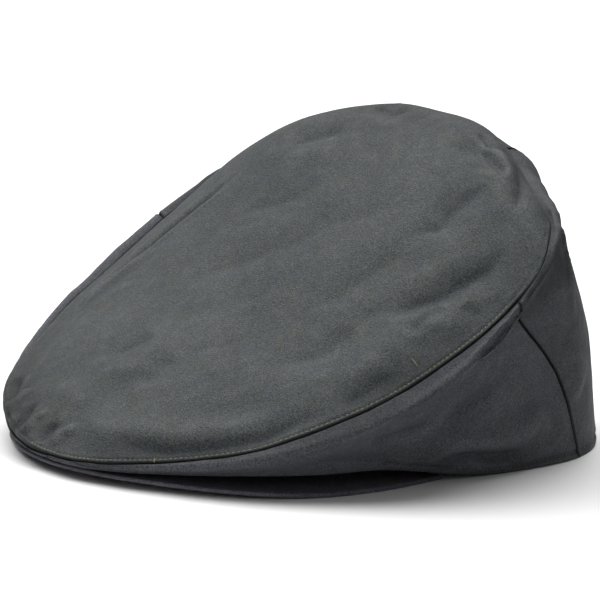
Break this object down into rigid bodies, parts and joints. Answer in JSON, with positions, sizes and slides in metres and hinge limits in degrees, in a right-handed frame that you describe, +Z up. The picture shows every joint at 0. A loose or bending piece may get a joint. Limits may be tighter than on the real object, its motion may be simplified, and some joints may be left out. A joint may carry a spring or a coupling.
{
  "type": "flat cap",
  "caption": "Soft flat cap of waxed cotton: a long sloping top panel, side and back panels sewn to its rim, and a stiff peak tucked under the front.",
  "frame": {"origin": "on the surface the cap rests on, under the middle of its box", "axes": "-Y towards the front of the peak, +X to the wearer's left, +Z up"},
  "size_m": [0.2245, 0.2532, 0.1282],
  "materials": {
    "waxed_top": "waxed, soft sheen",
    "waxed_side": "waxed, soft sheen",
    "waxed_peak": "waxed, matt"
  },
  "bodies": {
    "root": {"crown_top": "waxed_top", "side_left": "waxed_side", "side_right": "waxed_side", "back_left": "waxed_side", "back_right": "waxed_side", "peak": "waxed_peak"}
  },
  "joints": []
}
